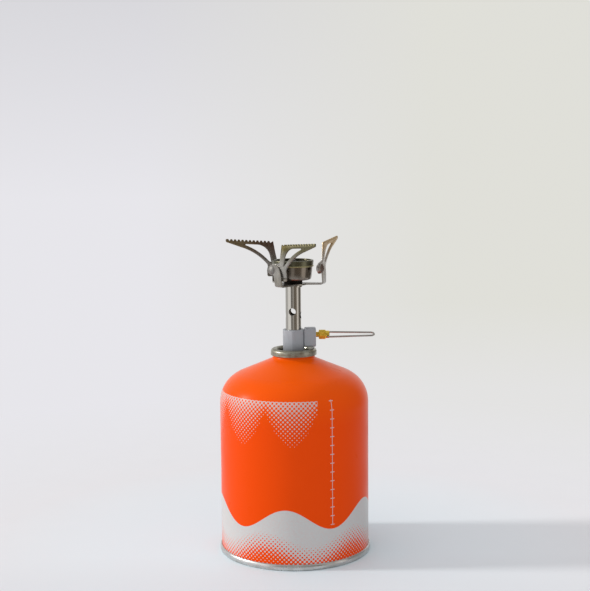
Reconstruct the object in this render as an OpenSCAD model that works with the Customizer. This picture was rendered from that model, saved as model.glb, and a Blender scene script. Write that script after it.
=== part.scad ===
// Canister-top gas stove: three toothed swing-out pot arms, a cup burner on a mixing tube and a
// needle valve with a wire handle, screwed onto the gas canister that it stands on.
// Millimetres, Z up. The origin is the centre of the canister's foot on the floor.
// X runs out along the needle valve's spindle, and Y runs away from the front.

/* [Canister] */
// Outside diameter of the canister's wall
can_d = 108; // [100:1:116]
// Height of the straight wall
wall_h = 109.8; // [70:0.2:140]
// Sheet thickness of the can and its base
can_t = 0.5; // [0.4:0.1:0.8]
// Radius of the bend between wall and dome
shoulder_r = 23; // [16:1:30]
// Slope of the dome in degrees
dome_slope = 23; // [16:1:30]
// Radius of the hollow between dome and neck
neck_fillet = 3; // [2:0.5:5]
// Outside diameter of the neck
neck_d = 30; // [28:0.5:34]
// Height of the foot seam
seam_h = 4.5; // [3.5:0.5:6]
// Thickness of each leg of the foot seam
seam_t = 1.2; // [0.8:0.1:1.6]
// Height of the edge of the base above the floor
base_edge_h = 2.4; // [1.6:0.2:3]
// Rise of the pressed-in base at its middle
base_rise = 8; // [5:1:12]

/* [Canister valve] */
// Radius of the rolled rim of the valve cup
rim_r = 2.25; // [1.9:0.05:2.6]
// Sheet thickness of the valve cup
cup_t = 0.65; // [0.5:0.05:0.8]
// Depth of the cup below the middle of its rim
cup_depth = 5.8; // [4:0.2:7]
// Thread diameter of the turret
turret_d = 11.1; // [10.5:0.1:12]
// Wall of the turret
turret_t = 1; // [0.7:0.1:1.4]
// Height of the turret above the floor of the cup
turret_h = 11.6; // [10.6:0.2:13]
// Diameter of the valve stem
stem_d = 3.6; // [3:0.2:4]
// Depth of the stem's top below the top of the turret
stem_sunk = 1.4; // [1:0.1:2]
// Diameter of the stem's collar
stem_collar_d = 5.6; // [5:0.2:6]
// Thickness of the gasket round the stem
stem_gasket_t = 1.2; // [0.8:0.1:1.6]
// Length of the valve housing
housing_l = 9; // [8:0.5:11]
// Wall of the valve housing
housing_t = 1.1; // [0.8:0.1:1.3]
// Wire diameter of the valve spring
spring_wire_d = 0.5; // [0.4:0.05:0.55]
// Mean diameter of the valve spring
spring_d = 4.6; // [4.2:0.2:5]
// Turns of the valve spring
spring_turns = 4; // [3:1:4]

/* [Valve body] */
// Width across the flats of the hexagonal body
hex_af = 15.4; // [14.6:0.2:18]
// Diameter that rounds the corners of the hexagon
hex_round_d = 16.6; // [15.8:0.2:17]
// Bevel round the top of the hexagon
hex_bevel = 0.7; // [0.3:0.1:1]
// Height of the valve body above the turret
body_rise = 10.1; // [9.8:0.1:13]
// Height of the hexagon
hex_h = 14.9; // [13.5:0.1:16]
// Diameter of the skirt inside the cup
skirt_d = 15; // [14:0.2:16]
// Gap between the skirt and the floor of the cup
skirt_gap = 2.2; // [1:0.2:3]
// Section diameter of the coupling seal
coupling_seal_d = 2; // [1.6:0.1:2.2]
// Thickness of the gas filter
filter_t = 0.8; // [0.5:0.1:1]
// Diameter of the gas filter
filter_d = 8.8; // [8:0.2:9.4]
// Diameter of the actuator pin
pin_d = 2.4; // [2:0.2:2.8]
// Metal left between the tube's socket and the needle's chamber below it
socket_floor = 0.5; // [0.3:0.1:1]
// Height of the spud that carries the jet
spud_h = 4; // [3.4:0.2:5]
// Diameter of the spud
spud_d = 6.4; // [5.6:0.2:7]
// Thread diameter of the jet
jet_thread_d = 3.4; // [2.8:0.2:4]
// Width across the flats of the jet
jet_af = 4.6; // [4.2:0.2:6]
// Height of the jet above its spud
jet_h = 5.5; // [4:0.5:7]
// Diameter of the jet's orifice
orifice_d = 0.4; // [0.3:0.1:0.6]

/* [Needle valve] */
// Depth of the spindle's axis below the top of the valve body
spindle_drop = 4; // [3.8:0.1:4.6]
// Length of the side block
block_l = 8.5; // [8.3:0.1:11]
// Depth of the side block from front to back
block_w = 9; // [8.6:0.2:12]
// Depth of the side block's underside below the top of the body
block_drop = 12.5; // [11:0.5:12.5]
// Height of the side block's top above the top of the body
block_rise = 1.1; // [0:0.1:2]
// Rounding of the side block's edges
block_round = 1.3; // [0.6:0.1:2]
// Metal left between the tube's socket and the end of the side block's spigot
spigot_wall = 0.4; // [0.2:0.1:0.8]
// Diameter of that spigot
spigot_d = 6; // [5.4:0.2:6.4]
// Diameter of the spindle
spindle_d = 3.8; // [3.4:0.1:4.2]
// Distance of the needle's seat from the axis of the tube
seat_x = 1.9; // [1.5:0.1:2.2]
// Travel of the spindle from open to closed
needle_travel = 1; // [0.6:0.1:1.2]
// Diameter of the needle
needle_d = 2.4; // [2:0.1:2.6]
// Diameter of the needle's point
needle_tip_d = 0.5; // [0.3:0.1:0.7]
// Length of the needle's cone
needle_cone_l = 2; // [1.6:0.1:2.4]
// Length of the gland nut
gland_l = 2.15; // [1.8:0.05:2.6]
// Diameter of the gland nut
gland_d = 6.8; // [6.4:0.2:7.2]
// Section diameter of the spindle seal
spindle_seal_d = 1.2; // [1:0.1:1.4]
// Bare length of spindle between side block and head
neck_l = 2; // [1.6:0.1:4]
// Diameter of the spindle's head
head_d = 6.8; // [6.2:0.2:8]
// Length of the spindle's head
head_l = 5.2; // [3:0.1:6]
// Diameter of the nose that carries the handle
nose_d = 5.4; // [4.8:0.2:6]
// Length of the nose
nose_l = 2.6; // [2.4:0.1:4]

/* [Handle] */
// Wire diameter of the handle
wire_d = 1.3; // [1:0.1:1.6]
// Length of the handle from its pivot to its end
handle_l = 34.4; // [24:0.2:44]
// Clearance between the legs of the handle and the nose
leg_clear = 0.35; // [0.3:0.05:0.8]
// Radius of the handle's round end
end_r = 2.4; // [1.8:0.1:3.4]
// Bend radius of the wire where a leg turns into the nose
wire_bend = 1; // [0.9:0.1:1.2]
// Turn of the handle about the spindle as it rests, in degrees
handle_turn = 20; // [0:5:60]

/* [Mixing tube] */
// Outside diameter of the mixing tube
tube_d = 11.4; // [10.6:0.2:12]
// Wall of the mixing tube
tube_t = 0.6; // [0.4:0.1:0.8]
// Length of tube between the valve body and the bracket
tube_l = 32.5; // [28:0.1:46]
// Diameter of the air holes
air_d = 5.2; // [4:0.2:6]
// Height of the front and back air holes above the valve body
air_h = 13.2; // [11:0.1:18]
// Drop of the side air holes below the front ones
air_step = 2.8; // [0:0.1:4]
// Turn of the air holes from the front, in degrees
air_turn = -10; // [-20:1:20]
// Thickness of the collar under the bracket
collar_t = 1; // [0.6:0.1:1.5]
// Height of that collar
collar_h = 1.4; // [1:0.1:2]

/* [Burner] */
// Diameter of the burner at its top
burner_d = 30; // [28:0.5:34]
// Diameter of the burner at its foot
foot_d = 27; // [25:0.5:27.4]
// Height of the burner
burner_h = 14.3; // [12:0.1:17]
// Gap between the burner and the bracket
burner_gap = 2.7; // [1:0.1:4]
// Sheet thickness of the burner
burner_t = 0.6; // [0.5:0.1:0.8]
// Radius of the burner's bottom corner
foot_r = 2.5; // [2:0.1:4]
// Height of the band round the top of the burner
band_h = 4.8; // [4:0.1:7]
// Depth of the flame plate below the top of the burner
plate_sunk = 1.9; // [1.5:0.1:2.4]
// Thickness of the flame plate
plate_t = 0.8; // [0.6:0.1:1]
// Width of the rolled lip at the top
lip_w = 1.8; // [1.2:0.1:2.2]
// Diameter of the flame ports
port_d = 1.5; // [1:0.1:1.6]
// Diameter of the cap in the middle of the flame plate
cap_d = 9; // [7:0.2:9.6]
// Height of that cap
cap_h = 1.6; // [1:0.1:2]
// Diameter of the cap's rivet
cap_rivet_d = 2; // [1.6:0.1:2.4]

/* [Bracket] */
// Sheet thickness of the bracket
sheet_t = 1; // [0.8:0.1:1.2]
// Diameter of the bracket's hub
hub_d = 19; // [17:0.5:24]
// Distance from the axis to the outer face of an upright
upright_n = 21.4; // [21:0.1:26]
// Bend radius at the foot of an upright
bend_r = 2; // [1.6:0.1:3]
// Direction of the first upright in degrees
upright_az = -19; // [-60:1:60]
// Distance of a leg's near edge from the upright's middle line
leg_s = 4.7; // [3.6:0.1:6]
// Width of a leg
leg_w = 6.8; // [5:0.1:8]
// Height of the arm pivots above the underside of the bracket
pivot_h = 12.1; // [11.6:0.1:15]
// Distance of the arm pivots from the upright's middle line
pivot_s = 1.5; // [1:0.1:2]
// Radius of the upright's ear round the pivot
ear_r = 3.7; // [3.5:0.1:4.4]
// Length of the stop tab
tab_l = 3.9; // [3:0.1:6]
// Height of the stop tab
tab_h = 2.4; // [1.8:0.1:3.4]
// Drop of the stop tab's top below the pivots
tab_drop = 5.1; // [4.5:0.1:6]

/* [Pot arms] */
// Sheet thickness of an arm
arm_t = 1.2; // [1:0.1:1.5]
// Reach of an arm from its pivot to its tip
arm_l = 44.4; // [40:0.2:56]
// Height of an arm's tip above its pivot
arm_h = 20.7; // [19:0.1:25]
// Rise of the bar from its inner end to its tip
bar_rise = 2.4; // [1:0.1:4]
// Distance of the bar's inner end from the pivot
bar_in = 9.45; // [8.6:0.05:10]
// Depth of the bar
bar_w = 3.1; // [2.8:0.1:4.5]
// Width of the lower brace
brace_w = 2.5; // [1.8:0.1:3]
// Radius of the lower brace's outer edge
brace_r = 42; // [34:0.5:60]
// Radius of the slot's inner end
slot_r = 10.4; // [9:0.2:12]
// Radius of the eye round the pivot
eye_r = 4; // [3.6:0.1:4.2]
// Length of the heel that rests on the stop tab
heel_w = 3; // [2:0.1:3.6]
// Spacing of the teeth
tooth_pitch = 2.75; // [2:0.05:4]
// Depth of the teeth
tooth_h = 1.2; // [0.6:0.1:1.6]
// Thickness of the washer between arm and upright
washer_t = 0.24; // [0.2:0.02:0.4]
// Diameter of the pivot rivets
rivet_d = 3; // [2.4:0.1:3.4]
// Diameter of the rivets' domed heads
rivet_head_d = 6.8; // [6:0.1:7.4]
// Height of the rivets' domed heads
rivet_head_h = 1.5; // [1:0.1:2]
// Diameter of the rivets' tails
rivet_tail_d = 4.8; // [4.2:0.1:5.4]
// Height of the rivets' tails
rivet_tail_h = 0.9; // [0.6:0.1:1.2]

/* [Fits] */
// Clearance on the radius of pins, threads and other running fits
run_fit = 0.06; // [0.03:0.01:0.09]
// Clearance of pieces that are seated in each other
seat_fit = 0.03; // [0.02:0.01:0.05]
// Clearance between flat faces that rest on each other
rest_fit = 0.05; // [0.03:0.01:0.08]

/* [Hidden] */
$fn = 96;

// Canister: the wall bends into a cone, which a hollow fillet carries up to the neck
can_r = can_d / 2;
neck_r = neck_d / 2;
seam_in_r = can_r - can_t - seat_fit - seam_t;
bend_end = 90 - dome_slope;
cone_foot = [
    can_r - shoulder_r + shoulder_r * cos(bend_end),
    wall_h + shoulder_r * sin(bend_end)
];
cone_top_r = neck_r + neck_fillet * (1 - sin(dome_slope));
cone_top = [cone_top_r, cone_foot.y + (cone_foot.x - cone_top_r) * tan(dome_slope)];
neck_z = cone_top.y + neck_fillet * cos(dome_slope);

// Valve cup: its rolled rim hooks over the bead of the neck
bead_r = (rim_r - cup_t) * 0.55;
rim_lift = 2.7;
rim_at = [neck_r - 0.6, neck_z + rim_lift];
bead_at = [neck_r - can_t / 2 - 0.1, rim_at.y - 0.5];
gasket_room = rim_r - cup_t;
cup_floor_z = rim_at.y - cup_depth;
turret_r = turret_d / 2;
turret_top = cup_floor_z + turret_h;
turret_in_r = turret_r - turret_t;
stem_top = turret_top - stem_sunk;
gasket_top = turret_top - turret_t;
housing_top = gasket_top - stem_gasket_t;
housing_r = turret_in_r - seat_fit;
housing_foot = housing_top - housing_l;
spring_foot = housing_foot + housing_t;
collar_drop = 2.1;
stem_collar_t = 1.2;
stem_collar_z = housing_top - collar_drop - stem_collar_t;

// Valve body: it stands on the coupling seal above the turret
tube_r = tube_d / 2;
body_top = turret_top + body_rise;
hex_foot = body_top - hex_h;
skirt_foot = cup_floor_z + skirt_gap;
ceiling_z = turret_top + coupling_seal_d + 2 * rest_fit;
filter_top = ceiling_z + filter_t + rest_fit;
spindle_z = body_top - spindle_drop;
chamber_r = needle_d / 2 + 0.3;
socket_z = spindle_z + chamber_r + socket_floor;
socket_depth = body_top - socket_z;
spud_top = socket_z + spud_h;
jet_hole_z = socket_z + 0.6;
bore_r = turret_r + run_fit;
gas_way_d = 1.2;
pin_top = filter_top + 0.8;

// Needle valve: places along X, from the seat out to the nose
flat_x = hex_af / 2;
spigot_x = tube_r + 2 * seat_fit + spigot_wall;
spigot_l = flat_x - spigot_x;
block_x = flat_x + seat_fit;
block_end = flat_x + block_l;
block_h = block_drop + block_rise;
gland_x = block_end - gland_l;
spindle_r = spindle_d / 2;
seal_room = spindle_seal_d + needle_travel + 0.8;
seal_room_x = gland_x - seal_room;
seal_x = gland_x - spindle_seal_d / 2 - 0.7;
seal_groove_r = spindle_r - spindle_seal_d / 2;
seal_room_r = seal_groove_r + spindle_seal_d + run_fit;
tip_x = seat_x - 0.3;
cone_grow = (needle_d - needle_tip_d) / 2 / needle_cone_l;
seat_r = needle_tip_d / 2 + cone_grow * (seat_x - tip_x + needle_travel) + run_fit;
thread_x = spigot_x + needle_travel + 0.2;
head_x = block_end + neck_l;
nose_x = head_x + head_l;
nose_end = nose_x + nose_l;
pivot_x = nose_x + nose_l / 2;

// Handle: two straight legs that draw together, a round end and two short ends in the nose's cross hole
wire_r = wire_d / 2;
leg_c = nose_d / 2 + leg_clear + wire_r;
leg_l = handle_l - wire_r - end_r;
leg_run = [leg_l - wire_bend, leg_c - end_r];
leg_tilt = atan2(leg_run.y, leg_run.x);

// Tube, bracket and burner
bracket_z = body_top + tube_l;
bracket_top = bracket_z + sheet_t;
burner_z = bracket_top + burner_gap;
burner_top = burner_z + burner_h;
band_z = burner_top - band_h;
band_in_r = burner_d / 2 - burner_t - rest_fit;
plate_top = burner_top - plate_sunk;
plate_z = plate_top - plate_t;
throat_r = tube_r + seat_fit;
throat_t = 1;
tube_top = burner_z + burner_t + 1;

// Arms: each turns on a rivet through its upright, and rests with its heel on the stop tab
pivot_z = bracket_z + pivot_h;
arm_out = upright_n - sheet_t - washer_t - 2 * seat_fit;
arm_in_n = arm_out - arm_t;
heel_y = rest_fit - tab_drop;
bar_slope = bar_rise / (arm_l - bar_in);
brace_from = [leg_s + leg_w + tab_l - pivot_s + 0.9, 2.5];
brace_to = [arm_l - 11.4, arm_h - 6.4];
brace_at = circle_centre(brace_from, brace_to, brace_r);
slot_x = bar_in + 12.6;
slot_end = arm_l - 14.8;

// Centre of the circle of radius r through p and q that lies to the right of the way from p to q
function circle_centre(p, q, r) =
    let (d = norm(q - p), h = sqrt(r * r - d * d / 4))
    (p + q) / 2 + [(q - p).y, -(q - p).x] * h / d;

// Points on an arc
function arc(at, r, from, to, steps) =
    [for (i = [0:steps]) let (a = from + (to - from) * i / steps) at + r * [cos(a), sin(a)]];

// Direction of p as seen from at
function direction(at, p) = atan2(p.y - at.y, p.x - at.x);

// Height of the bar's toothed edge above the pivot
function bar_edge(x) = arm_h - bar_rise + (x - bar_in) * bar_slope;

// Part of a flat ring between two angles, at most half a turn apart
module ring_sector(r, t, from, to) {
    far = 3 * r;
    intersection() {
        difference() {
            circle(r);
            circle(r - t);
        }
        polygon(concat([[0, 0]], arc([0, 0], far, from, to, 4)));
    }
}

// Part of a torus in the quarter or half where X and, if asked, Y are positive
module wire_turn(r, quarter) {
    big = 4 * r;
    intersection() {
        rotate_extrude() translate([r, 0]) circle(wire_r);
        translate([0, quarter ? 0 : -big, -big]) cube(2 * big);
    }
}

module rounded_rect(size, r) {
    for (x = [-1, 1], y = [-1, 1]) {
        translate([x * (size.x / 2 - r), y * (size.y / 2 - r)]) circle(r);
    }
    square([size.x - 2 * r, size.y], center = true);
    square([size.x, size.y - 2 * r], center = true);
}

// A ring or tube about Z
module ring(r_out, r_in, h) {
    difference() {
        cylinder(r = r_out, h = h);
        translate([0, 0, -1]) cylinder(r = r_in, h = h + 2);
    }
}

// Lays a shape that stands along Z down along X, on the spindle's axis
module along_spindle(x) {
    translate([x, 0, spindle_z]) rotate([0, 90, 0]) children();
}

// Frame of one arm: X out through its upright, Y along the arm, Z up, origin on the axis
module at_upright(i) {
    rotate([0, 0, upright_az + 120 * i]) children();
}

// A plate that faces out along X, drawn from the pivot with Y as its width and Z as its height
module upright_plate(n, t) {
    translate([n, pivot_s, pivot_z]) rotate([90, 0, 90]) linear_extrude(t) children();
}

// Section of the can's form, its skin moved in by inset, between two heights
module can_section(inset, low, high) {
    out = [sin(dome_slope), cos(dome_slope)];
    foot = cone_foot - inset * out;
    top = cone_top - inset * out;
    middle = wall_h / 2;
    fillet_at = [neck_r + neck_fillet, neck_z];
    intersection() {
        translate([0, low]) square([2 * can_r, high - low]);
        union() {
            square([can_r - inset, wall_h]);
            translate([can_r - shoulder_r, wall_h]) circle(shoulder_r - inset);
            polygon([[0, middle], [foot.x, middle], foot, top, [0, top.y]]);
            difference() {
                polygon([
                    [0, middle],
                    [top.x, middle],
                    top,
                    fillet_at,
                    [neck_r - inset, neck_z],
                    [0, neck_z]
                ]);
                translate(fillet_at) circle(neck_fillet + inset);
            }
            square([neck_r - inset, high]);
        }
    }
}

module canister_shell() {
    color("darkorange") rotate_extrude() {
        difference() {
            can_section(0, seam_t + seat_fit, bead_at.y);
            can_section(can_t, 0, bead_at.y + 1);
        }
        translate(bead_at) circle(bead_r);
    }
}

module canister_base() {
    sphere_r = (pow(seam_in_r, 2) + pow(base_rise, 2)) / (2 * base_rise);
    color("silver") rotate_extrude() intersection() {
        translate([0, base_edge_h + can_t + base_rise - sphere_r]) difference() {
            circle(sphere_r, $fn = 360);
            circle(sphere_r - can_t, $fn = 360);
        }
        square([seam_in_r - seat_fit, base_edge_h + 2 * base_rise]);
    }
}

module base_seam() {
    r_out = can_r + seat_fit + seam_t;
    corner = seam_t * 0.45;
    color("gainsboro") rotate_extrude() difference() {
        translate([(r_out + seam_in_r) / 2, seam_h / 2])
            rounded_rect([r_out - seam_in_r, seam_h], corner);
        translate([can_r - can_t - seat_fit, seam_t]) square([can_t + 2 * seat_fit, seam_h]);
    }
}

module valve_cup() {
    leg_z = neck_z + 0.3;
    color("tan") rotate_extrude() {
        translate(rim_at) ring_sector(rim_r, cup_t, 0, 180);
        translate([rim_at.x + rim_r - cup_t, leg_z]) square([cup_t, rim_at.y - leg_z]);
        translate([rim_at.x - rim_r, cup_floor_z - cup_t]) square([cup_t, cup_depth + cup_t]);
        translate([turret_in_r, cup_floor_z - cup_t])
            square([rim_at.x - rim_r - turret_in_r + cup_t, cup_t]);
        translate([turret_in_r, cup_floor_z - cup_t]) square([turret_t, turret_h + cup_t]);
        translate([stem_d / 2 + run_fit, turret_top - turret_t])
            square([turret_r - stem_d / 2 - run_fit, turret_t]);
    }
}

module cup_gasket() {
    gap = gasket_room - 0.1;
    bottom = bead_at.y + bead_r + rest_fit;
    top = rim_at.y + sqrt(pow(gasket_room, 2) - pow(gap * 0.45, 2)) - rest_fit;
    color("dimgray") translate([0, 0, bottom])
        ring(rim_at.x + gap * 0.45, rim_at.x - gap * 0.45, top - bottom);
}

module valve_housing() {
    color("ivory") translate([0, 0, housing_foot]) difference() {
        cylinder(r = housing_r, h = housing_l);
        translate([0, 0, housing_t]) cylinder(r = housing_r - housing_t, h = housing_l);
        translate([0, 0, -1]) cylinder(r = 0.8, h = housing_t + 2);
    }
}

module valve_stem() {
    color("white") difference() {
        union() {
            translate([0, 0, stem_collar_z])
                cylinder(d = stem_d, h = stem_top - stem_collar_z);
            translate([0, 0, stem_collar_z]) cylinder(d = stem_collar_d, h = stem_collar_t);
        }
        translate([0, 0, stem_top - 2.4]) cylinder(r = 0.6, h = 3);
    }
}

// A coil is one tube: rings of points along the helix, joined by triangles
module valve_spring() {
    rings = 8 * spring_turns;
    sides = 6;
    room = stem_collar_z - spring_foot - spring_wire_d - 2 * rest_fit;
    pitch = room / spring_turns;
    lean = atan(pitch / (PI * spring_d));
    points = [
        for (i = [0:rings], j = [0:sides - 1])
            let (turn = 360 * i / 8, side = 360 * j / sides)
            let (out = [cos(turn), sin(turn), 0])
            let (up = [sin(turn) * sin(lean), -cos(turn) * sin(lean), cos(lean)])
            spring_d / 2 * out + [0, 0, pitch * i / 8]
            + spring_wire_d / 2 * (cos(side) * out + sin(side) * up)
    ];
    skin = [
        for (i = [0:rings - 1], j = [0:sides - 1])
            let (a = i * sides + j, b = i * sides + (j + 1) % sides)
            each [[a, a + sides, b], [b, a + sides, b + sides]]
    ];
    ends = [
        for (j = [1:sides - 2]) each [
            [0, j, j + 1],
            [rings * sides, rings * sides + j + 1, rings * sides + j]
        ]
    ];
    coil_gap = min([
        for (i = [0:7], j = [0:sides - 1], k = [0:sides - 1])
            norm(points[i * sides + j] - points[(i + 8) * sides + k])
    ]);
    echo(least_gap_between_spring_turns = coil_gap);
    color("lightgray") translate([0, 0, spring_foot + spring_wire_d / 2 + rest_fit])
        polyhedron(points, concat(skin, ends), convexity = 8);
}

module stem_gasket() {
    color("dimgray") translate([0, 0, housing_top])
        ring(turret_in_r - seat_fit, stem_d / 2 + run_fit, stem_gasket_t);
}

module coupling_seal() {
    color("black") translate([0, 0, turret_top + rest_fit + coupling_seal_d / 2])
        rotate_extrude() translate([turret_r - coupling_seal_d / 2 - 0.3, 0])
            circle(d = coupling_seal_d);
}

module valve_body() {
    bore_h = ceiling_z - skirt_foot;
    color("slategray") difference() {
        union() {
            intersection() {
                translate([0, 0, hex_foot]) rotate([0, 0, 30])
                    cylinder(d = hex_af / cos(30), h = hex_h, $fn = 6);
                rotate_extrude() polygon([
                    [0, hex_foot],
                    [hex_round_d / 2, hex_foot],
                    [hex_round_d / 2, body_top - hex_bevel],
                    [hex_round_d / 2 - hex_bevel, body_top],
                    [0, body_top]
                ]);
            }
            translate([0, 0, skirt_foot]) cylinder(d = skirt_d, h = hex_foot - skirt_foot + 1);
            translate([0, 0, socket_z]) cylinder(d = spud_d, h = spud_h);
        }
        translate([0, 0, skirt_foot - 1]) cylinder(r = bore_r, h = bore_h + 1);
        translate([0, 0, ceiling_z - 1])
            cylinder(r = filter_d / 2 + seat_fit, h = filter_top - ceiling_z + 1);
        translate([0, 0, filter_top - 1])
            cylinder(r = pin_d / 2 + seat_fit, h = pin_top - filter_top + 1);
        translate([seat_x + 1.1, 0, filter_top - 1])
            cylinder(d = gas_way_d, h = spindle_z - filter_top + 1);
        along_spindle(-1) cylinder(r = seat_r, h = seat_x + 1.5);
        along_spindle(seat_x) cylinder(r = chamber_r, h = flat_x);
        along_spindle(spigot_x - seat_fit) cylinder(r = spigot_d / 2 + seat_fit, h = flat_x);
        translate([0, 0, spindle_z]) cylinder(d = gas_way_d, h = jet_hole_z - spindle_z + 1);
        translate([0, 0, jet_hole_z]) cylinder(r = jet_thread_d / 2 + seat_fit, h = spud_h);
        translate([0, 0, socket_z]) ring(tube_r + seat_fit, spud_d / 2, socket_depth + 1);
    }
}

module actuator_pin() {
    color("silver") translate([0, 0, stem_top + rest_fit])
        cylinder(d = pin_d, h = pin_top - stem_top - rest_fit);
}

module gas_filter() {
    color("goldenrod") translate([0, 0, ceiling_z])
        ring(filter_d / 2, pin_d / 2 + seat_fit, filter_t);
}

module gas_jet() {
    color("goldenrod") difference() {
        union() {
            translate([0, 0, jet_hole_z + rest_fit])
                cylinder(d = jet_thread_d, h = spud_top - jet_hole_z);
            translate([0, 0, spud_top + rest_fit])
                cylinder(d = jet_af / cos(30), h = jet_h * 0.6, $fn = 6);
            translate([0, 0, spud_top + rest_fit]) cylinder(d = jet_af * 0.7, h = jet_h);
        }
        translate([0, 0, jet_hole_z]) cylinder(d = gas_way_d, h = spud_h + jet_h * 0.6);
        translate([0, 0, spud_top]) cylinder(d = orifice_d, h = 2 * jet_h);
    }
}

module needle_block() {
    middle = [(block_x + block_end) / 2, 0, body_top + block_rise - block_h / 2];
    length = block_end - block_x;
    color("slategray") difference() {
        union() {
            intersection() {
                translate(middle) rotate([90, 0, 0]) linear_extrude(block_w, center = true)
                    rounded_rect([length, block_h], block_round);
                translate(middle) rotate([90, 0, 90]) linear_extrude(length + 1, center = true)
                    rounded_rect([block_w, block_h], block_round);
            }
            along_spindle(spigot_x) cylinder(d = spigot_d, h = spigot_l + length / 2);
        }
        along_spindle(spigot_x - 1) cylinder(r = spindle_r + run_fit, h = block_end);
        along_spindle(seal_room_x) cylinder(r = seal_room_r, h = seal_room);
        along_spindle(gland_x) cylinder(r = gland_d / 2 + seat_fit, h = gland_l + 1);
    }
}

module gland_nut() {
    color("goldenrod") along_spindle(gland_x)
        ring(gland_d / 2, spindle_r + run_fit, gland_l);
}

module spindle_seal() {
    color("black") along_spindle(seal_x)
        rotate_extrude() translate([seal_groove_r + spindle_seal_d / 2 + run_fit / 2, 0])
            circle(d = spindle_seal_d);
}

// The knurl is a row of flutes round the head
module valve_spindle() {
    flutes = 18;
    edge = 0.5;
    color("gold") difference() {
        along_spindle(0) rotate_extrude() polygon([
            [0, tip_x],
            [needle_tip_d / 2, tip_x],
            [needle_d / 2, tip_x + needle_cone_l],
            [needle_d / 2, thread_x],
            [spindle_r, thread_x],
            [spindle_r, seal_x - spindle_seal_d / 2 - run_fit],
            [seal_groove_r, seal_x - spindle_seal_d / 2 - run_fit],
            [seal_groove_r, seal_x + spindle_seal_d / 2 + run_fit],
            [spindle_r, seal_x + spindle_seal_d / 2 + run_fit],
            [spindle_r, head_x],
            [head_d / 2 - edge, head_x],
            [head_d / 2, head_x + edge],
            [head_d / 2, nose_x - edge],
            [head_d / 2 - edge, nose_x],
            [nose_d / 2, nose_x],
            [nose_d / 2, nose_end - edge],
            [nose_d / 2 - edge, nose_end],
            [0, nose_end]
        ]);
        for (i = [0:flutes - 1]) {
            along_spindle(head_x - 1) rotate([0, 0, 360 * i / flutes])
                translate([head_d / 2 + 0.1, 0, 0]) cylinder(r = 0.4, h = head_l + 0.6, $fn = 24);
        }
        translate([pivot_x, 0, spindle_z]) rotate([handle_turn - 90, 0, 0])
            cylinder(r = wire_r + run_fit, h = 2 * nose_d, center = true);
    }
}

// Drawn in its own plane: X out from the pivot, Y across from leg to leg
module control_handle() {
    stub_in = 0.4;
    knuckle_r = 1.04 * wire_r;
    color("gray") translate([pivot_x, 0, spindle_z]) rotate([handle_turn, 0, 0]) {
        for (side = [-1, 1]) {
            rotate([side < 0 ? 180 : 0, 0, 0]) {
                translate([0, stub_in, 0]) rotate([-90, 0, 0])
                    cylinder(r = wire_r, h = leg_c - wire_bend - stub_in);
                translate([wire_bend, leg_c - wire_bend, 0]) rotate([0, 0, 90])
                    wire_turn(wire_bend, true);
                translate([wire_bend, leg_c, 0]) rotate([0, 90, -leg_tilt]) {
                    cylinder(r = wire_r, h = norm(leg_run));
                    sphere(knuckle_r);
                    translate([0, 0, norm(leg_run)]) sphere(knuckle_r);
                }
            }
        }
        translate([leg_l, 0, 0]) wire_turn(end_r, false);
    }
}

module mixing_tube() {
    color("darkgray") difference() {
        translate([0, 0, socket_z + rest_fit])
            ring(tube_r, tube_r - tube_t, tube_top - socket_z - rest_fit);
        for (side = [0, 1]) {
            translate([0, 0, body_top + air_h - side * air_step])
                rotate([90, 0, air_turn + 90 * side]) cylinder(d = air_d, h = 2 * tube_d, center = true);
        }
    }
}

module tube_collar() {
    color("gray") translate([0, 0, bracket_z - collar_h])
        ring(tube_r + seat_fit + collar_t, tube_r + seat_fit, collar_h);
}

// Side of a stop tab, with its lower corner rounded
module tab_outline() {
    length = 1.2 + tab_l;
    r = tab_h / 2;
    square([length - r, tab_h]);
    translate([0, r]) square([length, tab_h - r]);
    translate([length - r, r]) circle(r);
}

// Hub and three legs in one sheet, each leg bent up into an upright with an ear and a stop tab
module support_bracket() {
    leg_mid = leg_s + leg_w / 2 - pivot_s;
    color("silver") difference() {
        union() {
            translate([0, 0, bracket_z]) cylinder(d = hub_d, h = sheet_t);
            for (i = [0:2]) at_upright(i) {
                translate([0, 0, bracket_z]) linear_extrude(sheet_t) polygon([
                    [hub_d * 0.3, 0],
                    [upright_n - bend_r, leg_s],
                    [upright_n - bend_r, leg_s + leg_w],
                    [hub_d * 0.18, hub_d * 0.45]
                ]);
                translate([upright_n - bend_r, leg_s + leg_w, bracket_z + bend_r])
                    rotate([90, 0, 0]) linear_extrude(leg_w) ring_sector(bend_r, sheet_t, -90, 0);
                upright_plate(upright_n - sheet_t, sheet_t) {
                    circle(ear_r);
                    polygon([
                        [leg_mid - leg_w / 2, bend_r - pivot_h],
                        [leg_mid + leg_w / 2, bend_r - pivot_h],
                        [leg_mid + leg_w / 2, -tab_drop],
                        [leg_mid + leg_w / 2 - 0.4, -2.6],
                        [leg_mid + leg_w / 2 - 1.1, -0.3],
                        [leg_mid + leg_w / 2 - 2.2, 1.4],
                        [leg_mid + leg_w / 2 - 4.4, 2.9],
                        ear_r * [cos(85), sin(85)],
                        ear_r * [cos(195), sin(195)],
                        [leg_mid - leg_w / 2 - 1.2, -ear_r]
                    ]);
                }
                translate([arm_in_n + rest_fit, leg_s + leg_w - 1.2, pivot_z - tab_drop - tab_h]) {
                    cube([upright_n - arm_in_n - rest_fit, 1.2, tab_h]);
                    rotate([90, 0, 90]) linear_extrude(arm_t - 2 * rest_fit) tab_outline();
                }
            }
        }
        translate([0, 0, bracket_z - 1]) cylinder(r = tube_r + seat_fit, h = sheet_t + 2);
        for (i = [0:2]) at_upright(i) {
            upright_plate(upright_n - sheet_t - 1, sheet_t + 2) circle(rivet_d / 2 + seat_fit);
        }
    }
}

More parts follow.
